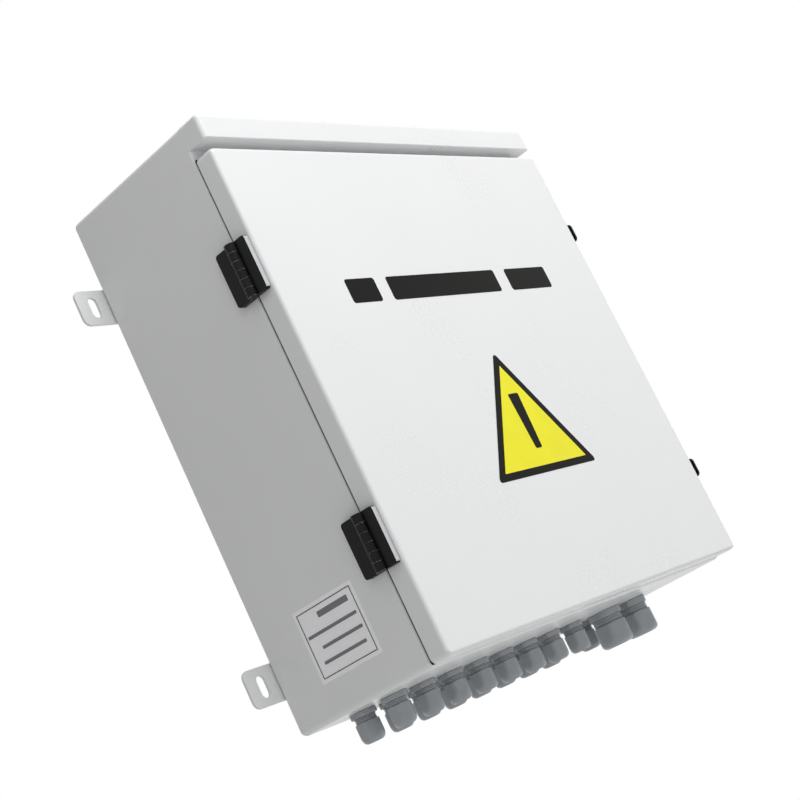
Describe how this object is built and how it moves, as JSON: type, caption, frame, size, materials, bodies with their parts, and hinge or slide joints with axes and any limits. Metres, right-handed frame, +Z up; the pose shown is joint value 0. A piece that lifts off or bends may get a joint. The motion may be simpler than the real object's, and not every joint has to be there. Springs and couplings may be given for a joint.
{
  "type": "dc combiner box",
  "caption": "Wall-hung sheet-steel box with a rain hood, a hinged and latched door, fuse holders, a breaker and cable glands in its floor.",
  "frame": {"origin": "centre of the plane in which the four mounting ears meet the wall, midway between the sides and between the roof and the floor of the box", "axes": "+X to the right seen from the front, +Y to the wall, +Z up"},
  "size_m": [0.568, 0.1833, 0.5363],
  "materials": {
    "painted_steel": "light grey powder coat, semi-gloss",
    "black_hardware": "black coated zinc, satin",
    "bright_steel": "zinc plated sheet and ground pins",
    "grey_nylon": "moulded grey nylon",
    "gasket_foam": "dark foamed sealing strip",
    "grey_moulding": "light grey moulding",
    "dark_moulding": "dark grey moulding",
    "red_moulding": "red moulding",
    "blue_moulding": "blue moulding",
    "copper": "bare copper bar",
    "brass": "bare brass bar"
  },
  "bodies": {
    "enclosure": {"enclosure_body": "painted_steel", "rain_hood": "painted_steel", "mounting_ear_upper_left": "painted_steel", "mounting_ear_upper_right": "painted_steel", "mounting_ear_lower_left": "painted_steel", "mounting_ear_lower_right": "painted_steel", "hinge_body_leaf_upper": "black_hardware", "hinge_body_leaf_lower": "black_hardware", "latch_base_upper": "black_hardware", "latch_base_lower": "black_hardware", "hinge_pin_upper": "bright_steel", "hinge_pin_lower": "bright_steel", "mounting_plate": "bright_steel", "din_rail_lower": "bright_steel", "din_rail_upper": "bright_steel", "gland_positive_1": "grey_nylon", "gland_negative_1": "grey_nylon", "gland_positive_2": "grey_nylon", "gland_negative_2": "grey_nylon", "gland_positive_3": "grey_nylon", "gland_negative_3": "grey_nylon", "gland_positive_4": "grey_nylon", "gland_negative_4": "grey_nylon", "gland_positive_5": "grey_nylon", "gland_negative_5": "grey_nylon", "gland_positive_6": "grey_nylon", "gland_negative_6": "grey_nylon", "gland_positive_7": "grey_nylon", "gland_negative_7": "grey_nylon", "gland_positive_8": "grey_nylon", "gland_negative_8": "grey_nylon", "gland_output_positive": "grey_nylon", "gland_output_negative": "grey_nylon", "gland_earth": "grey_nylon", "fuse_holder_bank": "grey_moulding", "dc_breaker": "dark_moulding", "surge_protector": "red_moulding", "terminal_block": "blue_moulding", "positive_busbar": "copper", "negative_busbar": "copper", "earth_bar": "brass"},
    "door": {"door": "painted_steel", "door_gasket": "gasket_foam", "hinge_door_leaf_upper": "black_hardware", "hinge_door_leaf_lower": "black_hardware", "latch_keeper_upper": "black_hardware", "latch_keeper_lower": "black_hardware"},
    "lever_upper": {"latch_lever_upper": "black_hardware"},
    "bail_upper": {"latch_bail_upper": "black_hardware"},
    "lever_lower": {"latch_lever_lower": "black_hardware"},
    "bail_lower": {"latch_bail_lower": "black_hardware"},
    "carrier_1": {"fuse_carrier_1": "grey_moulding"},
    "carrier_2": {"fuse_carrier_2": "grey_moulding"},
    "carrier_3": {"fuse_carrier_3": "grey_moulding"},
    "carrier_4": {"fuse_carrier_4": "grey_moulding"},
    "carrier_5": {"fuse_carrier_5": "grey_moulding"},
    "carrier_6": {"fuse_carrier_6": "grey_moulding"},
    "carrier_7": {"fuse_carrier_7": "grey_moulding"},
    "carrier_8": {"fuse_carrier_8": "grey_moulding"},
    "toggle": {"dc_breaker_toggle": "grey_moulding"}
  },
  "joints": [
    {"name": "door_hinge", "type": "hinge", "parent": "enclosure", "child": "door", "pos_m": [-0.2563, -0.1624, -0.016], "axis": [0, 0, -1], "range_deg": [0, 170]},
    {"name": "latch_lever_upper_pivot", "type": "hinge", "parent": "enclosure", "child": "lever_upper", "pos_m": [0.26, -0.1498, 0.1245], "axis": [0, 0, -1], "range_deg": [0, 150]},
    {"name": "latch_bail_upper_pivot", "type": "hinge", "parent": "lever_upper", "child": "bail_upper", "pos_m": [0.2587, -0.1398, 0.1245], "axis": [0, 0, 1], "range_deg": [0, 150]},
    {"name": "latch_lever_lower_pivot", "type": "hinge", "parent": "enclosure", "child": "lever_lower", "pos_m": [0.26, -0.1498, -0.1565], "axis": [0, 0, -1], "range_deg": [0, 150]},
    {"name": "latch_bail_lower_pivot", "type": "hinge", "parent": "lever_lower", "child": "bail_lower", "pos_m": [0.2587, -0.1398, -0.1565], "axis": [0, 0, 1], "range_deg": [0, 150]},
    {"name": "fuse_carrier_1_tilt", "type": "hinge", "parent": "enclosure", "child": "carrier_1", "pos_m": [-0.168, -0.0757, -0.086], "axis": [1, 0, 0], "range_deg": [0, 90]},
    {"name": "fuse_carrier_2_tilt", "type": "hinge", "parent": "enclosure", "child": "carrier_2", "pos_m": [-0.15, -0.0757, -0.086], "axis": [1, 0, 0], "range_deg": [0, 90]},
    {"name": "fuse_carrier_3_tilt", "type": "hinge", "parent": "enclosure", "child": "carrier_3", "pos_m": [-0.132, -0.0757, -0.086], "axis": [1, 0, 0], "range_deg": [0, 90]},
    {"name": "fuse_carrier_4_tilt", "type": "hinge", "parent": "enclosure", "child": "carrier_4", "pos_m": [-0.114, -0.0757, -0.086], "axis": [1, 0, 0], "range_deg": [0, 90]},
    {"name": "fuse_carrier_5_tilt", "type": "hinge", "parent": "enclosure", "child": "carrier_5", "pos_m": [-0.096, -0.0757, -0.086], "axis": [1, 0, 0], "range_deg": [0, 90]},
    {"name": "fuse_carrier_6_tilt", "type": "hinge", "parent": "enclosure", "child": "carrier_6", "pos_m": [-0.078, -0.0757, -0.086], "axis": [1, 0, 0], "range_deg": [0, 90]},
    {"name": "fuse_carrier_7_tilt", "type": "hinge", "parent": "enclosure", "child": "carrier_7", "pos_m": [-0.06, -0.0757, -0.086], "axis": [1, 0, 0], "range_deg": [0, 90]},
    {"name": "fuse_carrier_8_tilt", "type": "hinge", "parent": "enclosure", "child": "carrier_8", "pos_m": [-0.042, -0.0757, -0.086], "axis": [1, 0, 0], "range_deg": [0, 90]},
    {"name": "breaker_toggle_throw", "type": "hinge", "parent": "enclosure", "child": "toggle", "pos_m": [-0.1, -0.0819, 0.092], "axis": [-1, 0, 0], "range_deg": [0, 36]}
  ],
  "couplings": [
    {"joint": "latch_bail_upper_pivot", "follows": "latch_lever_upper_pivot", "ratio": 1},
    {"joint": "latch_bail_lower_pivot", "follows": "latch_lever_lower_pivot", "ratio": 1}
  ]
}
